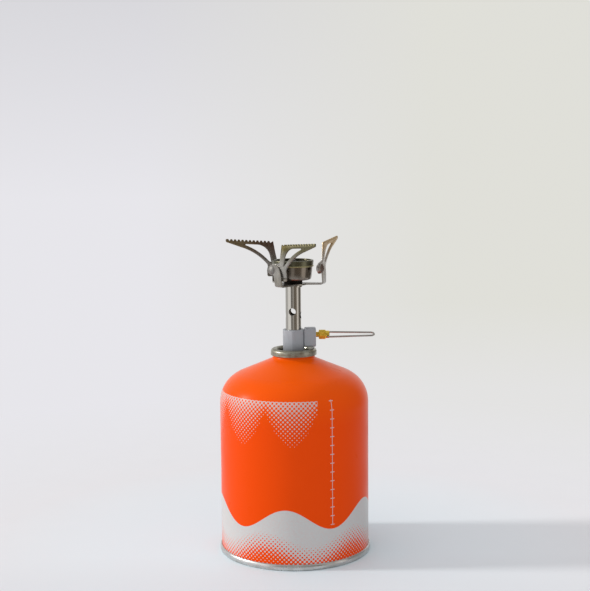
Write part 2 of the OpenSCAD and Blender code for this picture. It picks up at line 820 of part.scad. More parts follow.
module burner_bowl() {
    foot = foot_d / 2;
    wall_top = band_in_r - rest_fit;
    color("dimgray") rotate_extrude() {
        translate([throat_r, bracket_top + rest_fit])
            square([throat_t, burner_z + burner_t - bracket_top - rest_fit]);
        translate([throat_r, burner_z]) square([foot - foot_r - throat_r, burner_t]);
        translate([foot - foot_r, burner_z + foot_r]) ring_sector(foot_r, burner_t, -90, 0);
        polygon([
            [foot - burner_t, burner_z + foot_r],
            [foot, burner_z + foot_r],
            [wall_top, plate_z],
            [wall_top - burner_t, plate_z]
        ]);
    }
}

module burner_ring() {
    r = burner_d / 2;
    color("dimgray") rotate_extrude() {
        polygon([
            [band_in_r, band_z],
            [r - burner_t * 0.4, band_z],
            [r, burner_top - burner_t],
            [band_in_r, burner_top - burner_t]
        ]);
        translate([r - burner_t, burner_top - burner_t]) ring_sector(burner_t, burner_t, 0, 90);
        translate([r - lip_w, burner_top - burner_t]) square([lip_w - burner_t, burner_t]);
    }
}

module port_plate() {
    edge = band_in_r - rest_fit;
    color("gray") difference() {
        translate([0, 0, plate_z]) cylinder(r = edge, h = plate_t);
        translate([0, 0, plate_z - 1]) cylinder(r = cap_rivet_d / 2 + seat_fit, h = plate_t + 2);
        for (row = [0:2], i = [0:29 - 6 * row]) {
            rotate([0, 0, 360 * i / (30 - 6 * row)])
                translate([edge - lip_w - port_d / 2 - 0.4 - row * (port_d + 0.8), 0, plate_z - 1])
                    cylinder(d = port_d, h = plate_t + 2, $fn = 32);
        }
    }
}

module burner_cap() {
    dome_r = (pow(cap_d / 2, 2) + pow(cap_h, 2)) / (2 * cap_h);
    color("gray") translate([0, 0, plate_top]) difference() {
        intersection() {
            translate([0, 0, cap_h - dome_r]) sphere(dome_r);
            cylinder(d = cap_d + 1, h = cap_h);
        }
        translate([0, 0, cap_h - 0.4]) cylinder(d = 2 * cap_rivet_d, h = 1);
        translate([0, 0, -1]) cylinder(r = cap_rivet_d / 2 + seat_fit, h = cap_h + 2);
    }
}

module cap_rivet() {
    head_h = 0.7;
    color("silver") {
        translate([0, 0, plate_z - head_h]) cylinder(d = 1.8 * cap_rivet_d, h = head_h);
        translate([0, 0, plate_z - head_h]) cylinder(d = cap_rivet_d, h = head_h + plate_t + cap_h);
        translate([0, 0, plate_top + cap_h - 0.4]) cylinder(d = 1.8 * cap_rivet_d, h = head_h);
    }
}

module arm_washers() {
    color("silver") for (i = [0:2]) at_upright(i) {
        upright_plate(arm_out + seat_fit, washer_t) difference() {
            circle(rivet_head_d / 2);
            circle(rivet_d / 2 + run_fit);
        }
    }
}

module arm_rivets() {
    dome_r = (pow(rivet_head_d / 2, 2) + pow(rivet_head_h, 2)) / (2 * rivet_head_h);
    tail_n = arm_in_n - rest_fit - rivet_tail_h;
    color("silver") for (i = [0:2]) at_upright(i) {
        upright_plate(tail_n, upright_n - tail_n) circle(d = rivet_d);
        upright_plate(tail_n, rivet_tail_h) circle(d = rivet_tail_d);
        translate([upright_n, pivot_s, pivot_z]) rotate([0, 90, 0]) intersection() {
            translate([0, 0, rivet_head_h - dome_r]) sphere(dome_r);
            cylinder(d = rivet_head_d + 1, h = rivet_head_h);
        }
    }
}

// Toothed edge from the tip back to the bar's inner end: flat crests and flat roots
function teeth() =
    let (count = floor((arm_l - 1.2 - bar_in) / tooth_pitch))
    let (start = arm_l - 0.8)
    [for (i = [0:count - 1], p = [[0, 0], [0.42, 0], [0.62, 1], [0.8, 1]])
        let (x = start - (i + p.x) * tooth_pitch)
        [x, bar_edge(x) - p.y * tooth_h]];

module arm_outline() {
    brace_in = brace_r + brace_w;
    slot_at = [slot_x, bar_edge(slot_x) - bar_w - slot_r];
    slot_dir = acos((slot_end - brace_at.x) / brace_in);
    difference() {
        polygon(concat(
            [
                [brace_from.x - 0.8 - heel_w, heel_y],
                [brace_from.x - 0.8, heel_y],
                [brace_from.x - 0.7, heel_y + 1.9],
                [brace_from.x - 1.3, 0],
                [brace_from.x - 1, brace_from.y - 1.2]
            ],
            arc(brace_at, brace_r, direction(brace_at, brace_from), direction(brace_at, brace_to), 20),
            [
                [arm_l - 0.3, arm_h - 2.3],
                [arm_l, arm_h - 1.6],
                [arm_l, arm_h - 0.4]
            ],
            teeth(),
            [
                [bar_in, bar_edge(bar_in)],
                [bar_in - 1.6, 9.8],
                [bar_in - 2.7, 5.1]
            ],
            arc([0, 0], eye_r, 100, 290, 24)
        ));
        polygon(concat(
            [brace_from + [-3.9, 0.4]],
            arc(slot_at, slot_r, 168, 90, 16),
            [
                [slot_end, bar_edge(slot_end) - bar_w],
                [slot_end + 0.5, bar_edge(slot_end) - bar_w - 0.5]
            ],
            arc(brace_at, brace_in, slot_dir, direction(brace_at, brace_from) + 0.6, 20)
        ));
        circle(rivet_d / 2 + run_fit);
    }
}

module pot_arm(i) {
    color("silver") at_upright(i) upright_plate(arm_in_n, arm_t) arm_outline();
}

module pot_arm_1() {
    pot_arm(0);
}

module pot_arm_2() {
    pot_arm(1);
}

module pot_arm_3() {
    pot_arm(2);
}

canister_shell();
canister_base();
base_seam();
valve_cup();
cup_gasket();
valve_housing();
valve_stem();
valve_spring();
stem_gasket();
coupling_seal();
valve_body();
actuator_pin();
gas_filter();
gas_jet();
needle_block();
gland_nut();
spindle_seal();
valve_spindle();
control_handle();
mixing_tube();
tube_collar();
support_bracket();
burner_bowl();
burner_ring();
port_plate();
burner_cap();
cap_rivet();
arm_washers();
arm_rivets();
pot_arm_1();
pot_arm_2();
pot_arm_3();
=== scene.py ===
import math

import bpy
from mathutils import Matrix, Vector


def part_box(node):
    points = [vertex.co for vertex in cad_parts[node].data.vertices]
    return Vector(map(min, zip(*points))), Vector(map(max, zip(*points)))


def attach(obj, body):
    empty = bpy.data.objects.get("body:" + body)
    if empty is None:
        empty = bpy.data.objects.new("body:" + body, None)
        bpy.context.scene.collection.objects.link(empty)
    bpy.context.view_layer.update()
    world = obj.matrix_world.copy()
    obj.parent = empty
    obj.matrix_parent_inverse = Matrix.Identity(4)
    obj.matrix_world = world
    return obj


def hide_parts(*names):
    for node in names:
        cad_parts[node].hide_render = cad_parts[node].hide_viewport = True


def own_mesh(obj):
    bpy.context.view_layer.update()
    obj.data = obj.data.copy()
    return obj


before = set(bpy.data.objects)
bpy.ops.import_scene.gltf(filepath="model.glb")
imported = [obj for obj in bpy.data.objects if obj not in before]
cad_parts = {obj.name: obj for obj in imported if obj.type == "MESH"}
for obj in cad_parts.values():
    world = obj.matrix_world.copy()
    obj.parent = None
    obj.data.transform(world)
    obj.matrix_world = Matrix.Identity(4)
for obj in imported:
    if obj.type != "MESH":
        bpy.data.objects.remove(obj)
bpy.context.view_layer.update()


# Canister shell: a drawn steel can with wall, shoulder and dome in one piece, sprayed glossy orange.
# The white print lies under the clear coat: a filling scale, a scalloped border of dots at the shoulder,
# and a band of even waves round the foot that breaks up into dots below.
can_radius = 0.054
wall_orange = (0.8, 0.066, 0.001, 1)
worn_orange = (0.76, 0.06, 0.001, 1)
# The yellower orange of the dome is a painted highlight.
dome_highlight_orange = (0.8, 0.094, 0.002, 1)
print_white = (0.52, 0.54, 0.535, 1)
shoulder_low = 0.1
shoulder_high = 0.135
dots_round = 108
border_top = 0.119
border_end = 0.31
scallops = 9
bare_scallops = 3
scallop_least = 0.008
scallop_depth = 0.024
scale_turn = 0.505
scale_middle = 0.075
scale_half = 0.0442
line_half = 0.0042
tick_half = 0.03
ticks_a_metre = 160
first_tick = 0.54
waves_round = 5
crest_start = 2.19
crest_middle = 0.0355
crest_swing = 0.0075
trough_start = 3.6
trough_middle = 0.0225
trough_swing = 0.005
wave_fade = 0.02


def start_finish(name, metallic):
    """A new material, its shader, and the place of each point on the piece."""
    finish = bpy.data.materials.new(name)
    finish.use_nodes = True
    shader = finish.node_tree.nodes["Principled BSDF"]
    shader.inputs["Metallic"].default_value = metallic
    place = finish.node_tree.nodes.new("ShaderNodeTexCoord").outputs["Object"]
    return finish, shader, place


def reckon(finish, operation, *values):
    """One Math node on numbers or on the outputs of other nodes."""
    node = finish.node_tree.nodes.new("ShaderNodeMath")
    node.operation = operation
    for socket, value in zip(node.inputs, values):
        if isinstance(value, bpy.types.NodeSocket):
            finish.node_tree.links.new(value, socket)
        else:
            socket.default_value = value
    return node.outputs[0]


def split_place(finish, place):
    """The three coordinates of a point."""
    node = finish.node_tree.nodes.new("ShaderNodeSeparateXYZ")
    finish.node_tree.links.new(place, node.inputs[0])
    return node.outputs[0], node.outputs[1], node.outputs[2]


def grain(finish, place, scale, stretch=(1, 1, 1), detail=3):
    """Noise over the piece, drawn out by a Mapping node."""
    mapping = finish.node_tree.nodes.new("ShaderNodeMapping")
    mapping.inputs["Scale"].default_value = stretch
    noise = finish.node_tree.nodes.new("ShaderNodeTexNoise")
    noise.inputs["Scale"].default_value = scale
    noise.inputs["Detail"].default_value = detail
    finish.node_tree.links.new(place, mapping.inputs["Vector"])
    finish.node_tree.links.new(mapping.outputs["Vector"], noise.inputs["Vector"])
    return noise.outputs["Fac"]


def spread(finish, value, low, high, start=0.3, stop=0.7):
    """A value that runs from low to high as another one runs from start to stop."""
    node = finish.node_tree.nodes.new("ShaderNodeMapRange")
    node.inputs["From Min"].default_value = start
    node.inputs["From Max"].default_value = stop
    node.inputs["To Min"].default_value = low
    node.inputs["To Max"].default_value = high
    finish.node_tree.links.new(value, node.inputs["Value"])
    return node.outputs["Result"]


def mix_colours(finish, share, first, second):
    """One colour laid over another by a share from 0 to 1."""
    node = finish.node_tree.nodes.new("ShaderNodeMix")
    node.data_type = "RGBA"
    finish.node_tree.links.new(share, node.inputs["Factor"])
    for socket, colour in ((node.inputs[6], first), (node.inputs[7], second)):
        if isinstance(colour, bpy.types.NodeSocket):
            finish.node_tree.links.new(colour, socket)
        else:
            socket.default_value = colour
    return node.outputs[2]


def lay_on(finish, shader, colour, roughness):
    """Gives the shader its colour and its roughness."""
    finish.node_tree.links.new(colour, shader.inputs["Base Color"])
    finish.node_tree.links.new(roughness, shader.inputs["Roughness"])


def relief(finish, shader, value, depth):
    """Fine relief on the surface, as high as depth in metres."""
    node = finish.node_tree.nodes.new("ShaderNodeBump")
    node.inputs["Strength"].default_value = 1
    node.inputs["Distance"].default_value = depth
    finish.node_tree.links.new(value, node.inputs["Height"])
    finish.node_tree.links.new(node.outputs["Normal"], shader.inputs["Normal"])


def dress(node, finish):
    """Gives a CAD node its finish."""
    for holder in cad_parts[node].material_slots:
        holder.material = finish


def halftone(finish, turn, up, share):
    """Dots in slanting rows round the can, larger where they cover a larger share of it."""
    round_can = reckon(finish, "MULTIPLY", turn, dots_round)
    up_can = reckon(finish, "MULTIPLY", up, dots_round / can_radius)
    rising = reckon(finish, "COSINE", reckon(finish, "ADD", round_can, up_can))
    falling = reckon(finish, "COSINE", reckon(finish, "SUBTRACT", round_can, up_can))
    swell = reckon(finish, "MULTIPLY_ADD", reckon(finish, "ADD", rising, falling), 0.25, 0.5)
    return reckon(finish, "GREATER_THAN", swell, reckon(finish, "SUBTRACT", 1, share))


can_paint, shader, place = start_finish("can_paint", 0)
right, back, up = split_place(can_paint, place)
turn = reckon(can_paint, "ARCTAN2", right, reckon(can_paint, "MULTIPLY", back, -1))

drop = reckon(can_paint, "SUBTRACT", border_top, up)
past_end = reckon(can_paint, "SUBTRACT", turn, border_end)
scallop = reckon(can_paint, "SINE", reckon(can_paint, "MULTIPLY", past_end, scallops / 2))
scallop = reckon(can_paint, "ABSOLUTE", scallop)
hang = reckon(can_paint, "MULTIPLY_ADD", scallop, scallop_depth, scallop_least)
thinning = spread(can_paint, reckon(can_paint, "DIVIDE", drop, hang), 0.62, 0.05, 0, 1)
bare_half = bare_scallops * math.pi / scallops
bare_field = reckon(can_paint, "COMPARE", past_end, bare_half, bare_half)
border = halftone(can_paint, turn, up, thinning)
border = reckon(can_paint, "MULTIPLY", border, reckon(can_paint, "GREATER_THAN", drop, 0))
border = reckon(can_paint, "MULTIPLY", border, reckon(can_paint, "LESS_THAN", drop, hang))
border = reckon(can_paint, "MULTIPLY", border, reckon(can_paint, "SUBTRACT", 1, bare_field))

off_scale = reckon(can_paint, "ABSOLUTE", reckon(can_paint, "SUBTRACT", turn, scale_turn))
on_scale = reckon(can_paint, "COMPARE", up, scale_middle, scale_half)
tick_at = reckon(can_paint, "FRACT", reckon(can_paint, "MULTIPLY_ADD", up, ticks_a_metre, first_tick))
ticks = reckon(can_paint, "COMPARE", tick_at, 0.5, 0.045)
ticks = reckon(can_paint, "MULTIPLY", ticks, reckon(can_paint, "LESS_THAN", off_scale, tick_half))
scale_mark = reckon(can_paint, "MAXIMUM", ticks, reckon(can_paint, "LESS_THAN", off_scale, line_half))
scale_mark = reckon(can_paint, "MULTIPLY", scale_mark, on_scale)

crest = reckon(can_paint, "SINE", reckon(can_paint, "MULTIPLY_ADD", turn, waves_round, crest_start))
crest = reckon(can_paint, "MULTIPLY_ADD", crest, crest_swing, crest_middle)
trough = reckon(can_paint, "SINE", reckon(can_paint, "MULTIPLY_ADD", turn, waves_round, trough_start))
trough = reckon(can_paint, "MULTIPLY_ADD", trough, trough_swing, trough_middle)
cover = spread(can_paint, reckon(can_paint, "SUBTRACT", trough, up), 1, 0.12, 0, wave_fade)
below_crest = reckon(can_paint, "GREATER_THAN", reckon(can_paint, "SUBTRACT", crest, up), 0)
waves = reckon(can_paint, "MULTIPLY", halftone(can_paint, turn, up, cover), below_crest)

fine_print = reckon(can_paint, "MULTIPLY", reckon(can_paint, "MAXIMUM", border, scale_mark), 0.8)
ink = reckon(can_paint, "MAXIMUM", fine_print, waves)
ink = reckon(can_paint, "MULTIPLY", ink, spread(can_paint, grain(can_paint, place, 900), 0.9, 1))
wall_tone = mix_colours(can_paint, grain(can_paint, place, 18), wall_orange, worn_orange)
# Painted highlight: from the shoulder up, the paint turns to the yellower dome orange.
painted_dome_highlight = spread(can_paint, up, 0, 1, shoulder_low, shoulder_high)
paint_tone = mix_colours(can_paint, painted_dome_highlight, wall_tone, dome_highlight_orange)
scuffs = spread(can_paint, grain(can_paint, place, 60, detail=6), 0.26, 0.4)
lay_on(can_paint, shader, mix_colours(can_paint, ink, paint_tone, print_white), scuffs)
shader.inputs["Specular IOR Level"].default_value = 0.02
shader.inputs["Coat Weight"].default_value = 0.6
shader.inputs["Coat IOR"].default_value = 1.16
shader.inputs["Coat Roughness"].default_value = 0.3
relief(can_paint, shader, grain(can_paint, place, 420, detail=1), 0.000008)
dress("canister_shell", can_paint)


# Canister base and foot seam: the pressed bottom is rolled together with the wall into a double seam.
# Both are bare tinplate, bright where the seaming roller has run round it and duller in between.
dull_tin = (0.47, 0.47, 0.46, 1)
bright_tin = (0.72, 0.72, 0.71, 1)
tarnished_tin = (0.36, 0.35, 0.32, 1)
inside_solid = 0.00001
seam_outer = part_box("base_seam")[1].x - inside_solid
seam_inner = 0.0523
seam_top = 0.0045
wall_inner = 0.05345
wall_outer = 0.05405
wall_foot = 0.0012


def turn_on_lathe(name, steps, sides):
    """A turned form: a ring of edges pulled from step to step, each a radius and a height."""
    bpy.ops.object.select_all(action="DESELECT")
    radius, height = steps[0]
    bpy.ops.mesh.primitive_circle_add(vertices=sides, radius=radius, location=(0, 0, height))
    piece = bpy.context.object
    piece.name = name
    bpy.ops.object.transform_apply(location=True)
    bpy.ops.object.mode_set(mode="EDIT")
    bpy.ops.mesh.select_all(action="SELECT")
    for new_radius, new_height in steps[1:]:
        bpy.ops.mesh.extrude_edges_move(TRANSFORM_OT_translate={"value": (0, 0, new_height - height)})
        grow = new_radius / radius
        bpy.ops.transform.resize(value=(grow, grow, 1), center_override=(0, 0, 0))
        radius, height = new_radius, new_height
    bpy.ops.mesh.select_all(action="SELECT")
    bpy.ops.mesh.remove_doubles(threshold=0.000001)
    bpy.ops.mesh.normals_make_consistent(inside=False)
    bpy.ops.object.mode_set(mode="OBJECT")
    return piece


def round_edges(piece, width, sharp=30):
    """Rounds a piece's sharp edges and smooths what is left."""
    bpy.ops.object.select_all(action="DESELECT")
    piece.select_set(True)
    bpy.context.view_layer.objects.active = piece
    rounding = piece.modifiers.new("rounding", "BEVEL")
    rounding.width = width
    rounding.segments = 2
    rounding.limit_method = "ANGLE"
    rounding.angle_limit = math.radians(sharp)
    bpy.ops.object.modifier_apply(modifier="rounding")
    bpy.ops.object.shade_smooth_by_angle(angle=math.radians(40))


def off_axis(finish, place):
    """How far a point lies from the upright axis of can and stove."""
    x, y = split_place(finish, place)[:2]
    squares = reckon(finish, "ADD", reckon(finish, "MULTIPLY", x, x), reckon(finish, "MULTIPLY", y, y))
    return reckon(finish, "SQRT", squares)


def lathe_place(finish, place):
    """Radius, height and a little of the angle of a point, for marks that run round a turned piece."""
    x, y, z = split_place(finish, place)
    little_angle = reckon(finish, "MULTIPLY", reckon(finish, "ARCTAN2", y, x), 0.002)
    joined = finish.node_tree.nodes.new("ShaderNodeCombineXYZ")
    finish.node_tree.links.new(off_axis(finish, place), joined.inputs[0])
    finish.node_tree.links.new(z, joined.inputs[1])
    finish.node_tree.links.new(little_angle, joined.inputs[2])
    return joined.outputs[0]


tinplate, shader, place = start_finish("tinplate", 1)
roller_marks = grain(tinplate, lathe_place(tinplate, place), 2600)
tarnish = grain(tinplate, place, 130, detail=5)
rolled = mix_colours(tinplate, roller_marks, dull_tin, bright_tin)
tarnished = mix_colours(tinplate, spread(tinplate, tarnish, 0, 0.55, 0.45, 0.75), rolled, tarnished_tin)
lay_on(tinplate, shader, tarnished, spread(tinplate, tarnish, 0.22, 0.42))
relief(tinplate, shader, roller_marks, 0.00003)
dress("canister_base", tinplate)

foot_seam = turn_on_lathe("foot_seam", [
    (seam_inner, 0.0007),
    (seam_inner + 0.0006, 0),
    (seam_outer - 0.0009, 0),
    (seam_outer - 0.0003, 0.0004),
    (seam_outer, 0.0013),
    (seam_outer, 0.0026),
    (seam_outer - 0.0002, 0.0035),
    (seam_outer - 0.0006, 0.0042),
    (wall_outer + 0.0002, seam_top),
    (wall_outer, 0.0041),
    (wall_outer, wall_foot),
    (wall_inner, wall_foot),
    (wall_inner, 0.0042),
    (wall_inner - 0.0004, seam_top),
    (seam_inner, 0.0039),
    (seam_inner, 0.0007),
], 160)
round_edges(foot_seam, 0.00018)
foot_seam.data.materials.append(tinplate)
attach(foot_seam, "canister")
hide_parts("base_seam")


# Valve cup: lacquered tinplate, deep drawn with the threaded turret in its middle. Its rim is rolled over
# the bead of the can's mouth and crimped, so it carries dull smears and fine lines round it.
dark_lacquer = (0.24, 0.23, 0.18, 1)
pale_lacquer = (0.42, 0.41, 0.34, 1)
smear_brown = (0.2, 0.17, 0.12, 1)
cup_plate, shader, place = start_finish("cup_plate", 0.9)
crimp_marks = grain(cup_plate, lathe_place(cup_plate, place), 1500, stretch=(1, 1, 6))
smears = grain(cup_plate, place, 260, stretch=(1, 1, 2.5), detail=5)
lacquer = mix_colours(cup_plate, crimp_marks, dark_lacquer, pale_lacquer)
smeared = mix_colours(cup_plate, spread(cup_plate, smears, 0, 0.8, 0.48, 0.7), lacquer, smear_brown)
lay_on(cup_plate, shader, smeared, spread(cup_plate, smears, 0.26, 0.5))
relief(cup_plate, shader, crimp_marks, 0.00003)
dress("valve_cup", cup_plate)


# Seals: the gasket under the cup's rim, the gasket round the stem, the ring between turret and stove and
# the ring on the needle. All are moulded black rubber with a faint bloom on the surface.
rubber_black = (0.012, 0.012, 0.013, 1)
bloom_grey = (0.05, 0.05, 0.052, 1)
seal_rubber, shader, place = start_finish("seal_rubber", 0)
bloom = grain(seal_rubber, place, 900, detail=5)
lay_on(seal_rubber, shader, mix_colours(seal_rubber, bloom, rubber_black, bloom_grey),
       spread(seal_rubber, bloom, 0.5, 0.8))
relief(seal_rubber, shader, bloom, 0.00002)
for node in ("cup_gasket", "stem_gasket", "coupling_seal", "spindle_seal"):
    dress(node, seal_rubber)


# Canister valve: a housing pressed into the turret from below and the sprung stem in it, both moulded
# in off-white plastic with a dull skin.
dark_cream = (0.72, 0.71, 0.65, 1)
pale_cream = (0.82, 0.81, 0.77, 1)
valve_plastic, shader, place = start_finish("valve_plastic", 0)
flow_marks = grain(valve_plastic, place, 400, detail=4)
lay_on(valve_plastic, shader, mix_colours(valve_plastic, flow_marks, dark_cream, pale_cream),
       spread(valve_plastic, flow_marks, 0.4, 0.58))
relief(valve_plastic, shader, flow_marks, 0.00001)
for node in ("valve_housing", "valve_stem"):
    dress(node, valve_plastic)


# Valve spring: a coil of round spring wire under the stem, with its ends cut off square. It is as long
# as the room under the stem's collar, as at rest; the real spring shortens when the stem goes down, this
# coil does not.
spring_low, spring_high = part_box("valve_spring")
coil_wire = 0.00025
coil_radius = spring_high.x - coil_wire
coil_turns = 4
steps_a_turn = 30
dark_spring = (0.42, 0.42, 0.42, 1)
pale_spring = (0.66, 0.66, 0.65, 1)


def close_wire_ends():
    """Caps the open ends of the wire just made."""
    bpy.ops.object.mode_set(mode="EDIT")
    bpy.ops.mesh.select_mode(type="EDGE")
    bpy.ops.mesh.select_all(action="SELECT")
    bpy.ops.mesh.remove_doubles(threshold=0.000002)
    bpy.ops.mesh.select_all(action="DESELECT")
    bpy.ops.mesh.select_non_manifold()
    bpy.ops.mesh.edge_face_add()
    bpy.ops.mesh.select_all(action="SELECT")
    bpy.ops.mesh.normals_make_consistent(inside=False)
    bpy.ops.object.mode_set(mode="OBJECT")


spring_steel, shader, place = start_finish("spring_steel", 1)
draw_marks = grain(spring_steel, place, 1400, detail=4)
lay_on(spring_steel, shader, mix_colours(spring_steel, draw_marks, dark_spring, pale_spring),
       spread(spring_steel, draw_marks, 0.2, 0.38))
bpy.ops.object.select_all(action="DESELECT")
bpy.ops.mesh.primitive_circle_add(vertices=10, radius=coil_wire, rotation=(math.pi / 2, 0, 0),
                                  location=(coil_radius, 0, spring_low.z + coil_wire))
stem_coil = bpy.context.object
stem_coil.name = "stem_coil"
bpy.ops.object.transform_apply(location=True, rotation=True)
winding = stem_coil.modifiers.new("winding", "SCREW")
winding.angle = coil_turns * 2 * math.pi
winding.steps = steps_a_turn * coil_turns
winding.render_steps = steps_a_turn * coil_turns
winding.screw_offset = spring_high.z - spring_low.z - 2 * coil_wire
bpy.ops.object.modifier_apply(modifier="winding")
close_wire_ends()
bpy.ops.object.shade_smooth_by_angle(angle=math.radians(40))
stem_coil.data.materials.append(spring_steel)
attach(stem_coil, "canister")
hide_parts("valve_spring")
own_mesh(stem_coil)
dress("actuator_pin", spring_steel)


# Valve body and side block: milled from aluminium bar, tumbled so that no edge is sharp, then anodised
# a flat grey. The block screws into the flat of the hexagon on the needle's side.
tumbled_edge = 0.0003
dark_anodised = (0.3, 0.312, 0.335, 1)
pale_anodised = (0.35, 0.362, 0.385, 1)
anodised, shader, place = start_finish("grey_anodised", 0.2)
blast = grain(anodised, place, 2600, detail=2)
cloud = grain(anodised, place, 120, detail=4)
lay_on(anodised, shader, mix_colours(anodised, cloud, dark_anodised, pale_anodised),
       spread(anodised, cloud, 0.42, 0.56))
relief(anodised, shader, blast, 0.000012)


def break_edges(node, name, width, sharp=30):
    """A copy of a CAD node with its triangles joined up and its sharp edges rounded."""
    bpy.ops.object.select_all(action="DESELECT")
    piece = bpy.data.objects.new(name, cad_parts[node].data.copy())
    bpy.context.scene.collection.objects.link(piece)
    piece.select_set(True)
    bpy.context.view_layer.objects.active = piece
    piece.data.materials.clear()
    bpy.ops.mesh.customdata_custom_splitnormals_clear()
    bpy.ops.object.mode_set(mode="EDIT")
    bpy.ops.mesh.select_all(action="SELECT")
    bpy.ops.mesh.remove_doubles(threshold=0.000001)
    bpy.ops.mesh.dissolve_limited(angle_limit=math.radians(0.3))
    bpy.ops.object.mode_set(mode="OBJECT")
    round_edges(piece, width, sharp=sharp)
    return piece


hex_body = break_edges("valve_body", "hex_body", tumbled_edge)
hex_body.data.materials.append(anodised)
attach(hex_body, "stove")
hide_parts("valve_body")
side_block = break_edges("needle_block", "side_block", tumbled_edge)
side_block.data.materials.append(anodised)
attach(side_block, "stove")
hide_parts("needle_block")


# Brass fittings: the sintered filter, and the jet in the foot of the tube, the gland nut and the needle
# spindle with its knurled head, which are turned from bar. Left bare, they have browned in patches.
clean_brass = (0.95, 0.68, 0.11, 1)
browned_brass = (0.8, 0.54, 0.07, 1)
brass, shader, place = start_finish("brass", 1)
patina = grain(brass, place, 420, detail=6)
patches = spread(brass, patina, 0, 1, 0.42, 0.62)
lay_on(brass, shader, mix_colours(brass, patches, clean_brass, browned_brass),
       spread(brass, patina, 0.2, 0.42))
relief(brass, shader, grain(brass, place, 2200, detail=2), 0.00001)
for node in ("gas_filter", "gas_jet", "gland_nut"):
    dress(node, brass)
needle_spindle = break_edges("valve_spindle", "needle_spindle", 0.00008, 40)
needle_spindle.data.materials.append(brass)
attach(needle_spindle, "spindle")
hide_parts("valve_spindle")


# Control handle: one length of stainless wire bent into a long loop whose legs draw together. Its two
# ends are turned inwards and sprung into the cross hole of the spindle's nose.
handle_low, handle_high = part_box("control_handle")
handle_wire = 0.00065
leg_apart = 0.0037
end_radius = 0.0024
nose_bend = 0.001
stub_start = 0.0004
handle_tilt = math.radians(20)
pivot = Vector((handle_low.x + handle_wire, 0, (handle_low.z + handle_high.z) / 2))
leg_end = handle_high.x - pivot.x - handle_wire - end_radius
leg_lean = math.atan2(leg_apart - end_radius, leg_end - nose_bend)
bend_centre = leg_apart - nose_bend
leg_start = bend_centre + nose_bend * math.cos(leg_lean)
leg_length = (leg_start - end_radius * math.cos(leg_lean)) / math.sin(leg_lean)
leg_way = (leg_length * math.cos(leg_lean), -leg_length * math.sin(leg_lean), 0)
turn_centre = nose_bend + nose_bend * math.sin(leg_lean) + leg_way[0] - end_radius * math.sin(leg_lean)
dark_wire = (0.3, 0.27, 0.24, 1)
pale_wire = (0.55, 0.52, 0.49, 1)
wire_steel, shader, place = start_finish("wire_steel", 1)
heat_bloom = grain(wire_steel, place, 160, detail=5)
lay_on(wire_steel, shader, mix_colours(wire_steel, heat_bloom, dark_wire, pale_wire),
       spread(wire_steel, heat_bloom, 0.22, 0.4))
relief(wire_steel, shader, grain(wire_steel, place, 1800, stretch=(0.1, 1, 1)), 0.00001)
bpy.ops.object.select_all(action="DESELECT")
bpy.ops.mesh.primitive_circle_add(vertices=14, radius=handle_wire, rotation=(math.pi / 2, 0, 0),
                                  location=(0, stub_start, 0))
wire_loop = bpy.context.object
wire_loop.name = "wire_loop"
bpy.ops.object.transform_apply(location=True, rotation=True)
bpy.ops.object.mode_set(mode="EDIT")
bpy.ops.mesh.select_all(action="SELECT")
bpy.ops.mesh.extrude_edges_move(TRANSFORM_OT_translate={"value": (0, bend_centre - stub_start, 0)})
bpy.ops.mesh.spin(steps=8, angle=math.pi / 2 + leg_lean, center=(nose_bend, bend_centre, 0), axis=(0, 0, 1))
bpy.ops.mesh.extrude_edges_move(TRANSFORM_OT_translate={"value": leg_way})
bpy.ops.mesh.spin(steps=10, angle=math.pi / 2 - leg_lean, center=(turn_centre, 0, 0), axis=(0, 0, 1))
bpy.ops.object.mode_set(mode="OBJECT")
other_leg = wire_loop.modifiers.new("other_leg", "MIRROR")
other_leg.use_axis = (False, True, False)
other_leg.merge_threshold = 0.00002
bpy.ops.object.modifier_apply(modifier="other_leg")
close_wire_ends()
wire_loop.rotation_euler = (handle_tilt, 0, 0)
wire_loop.location = pivot
bpy.ops.object.transform_apply(location=True, rotation=True)
bpy.ops.object.shade_smooth_by_angle(angle=math.radians(50))
wire_loop.data.materials.append(wire_steel)
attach(wire_loop, "handle")
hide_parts("control_handle")


# Mixing tube and collar: thin titanium tube, drawn and polished along its length, with four air holes
# drilled through it. It is pressed into the valve body below and into the bracket and bowl above.
tube_low, tube_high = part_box("mixing_tube")
tube_wall = 0.0006
tube_rows = 48
air_hole = 0.0026
air_height = tube_low.z + 0.01515
air_step = 0.0028
air_turn = math.radians(-10)
dark_titanium = (0.44, 0.42, 0.385, 1)
pale_titanium = (0.54, 0.52, 0.48, 1)
